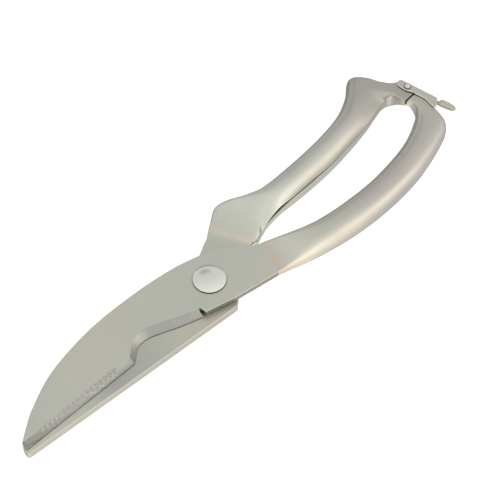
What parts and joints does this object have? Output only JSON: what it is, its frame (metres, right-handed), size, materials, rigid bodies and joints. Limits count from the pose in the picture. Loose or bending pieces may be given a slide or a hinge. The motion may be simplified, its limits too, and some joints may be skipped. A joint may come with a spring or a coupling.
{
  "type": "poultry shears",
  "caption": "Folding-lock poultry shears with a serrated blade, a bone notch, hollow folded handles, a domed pivot, an inside spring and a swinging safety lock.",
  "frame": {"origin": "bottom centre of the bounding box, on the surface that the shears lie on", "axes": "+X from the blade tips to the handle ends, +Z along the pivot towards its domed head, +Y towards the back half's handle"},
  "size_m": [0.2468, 0.0584, 0.015],
  "materials": {
    "blade_steel": "satin ground, warm grey",
    "handle_steel": "satin, softly blasted",
    "polished_steel": "polished",
    "lock_steel": "satin, rolled sheet",
    "spring_steel": "drawn wire"
  },
  "bodies": {
    "back_half": {"back_blade": "blade_steel", "back_handle": "handle_steel", "pivot_bolt": "polished_steel", "pivot_washer": "lock_steel", "pivot_nut": "polished_steel", "inside_spring": "spring_steel", "lock_rivet": "polished_steel"},
    "front_half": {"front_blade": "blade_steel", "front_handle": "handle_steel"},
    "lock": {"safety_lock": "lock_steel"}
  },
  "joints": [
    {"name": "blade_pivot", "type": "hinge", "parent": "back_half", "child": "front_half", "pos_m": [-0.0164, 0.00047, 0.0075], "axis": [0, 0, -1], "range_deg": [0, 30], "stiffness_Nm_per_rad": 0.5, "springref_deg": 51.57, "deforming": ["inside_spring"]},
    {"name": "lock_pivot", "type": "hinge", "parent": "back_half", "child": "lock", "pos_m": [0.1179, 0.00507, 0.0075], "axis": [0, 0, 1], "range_deg": [-3, 90]}
  ]
}
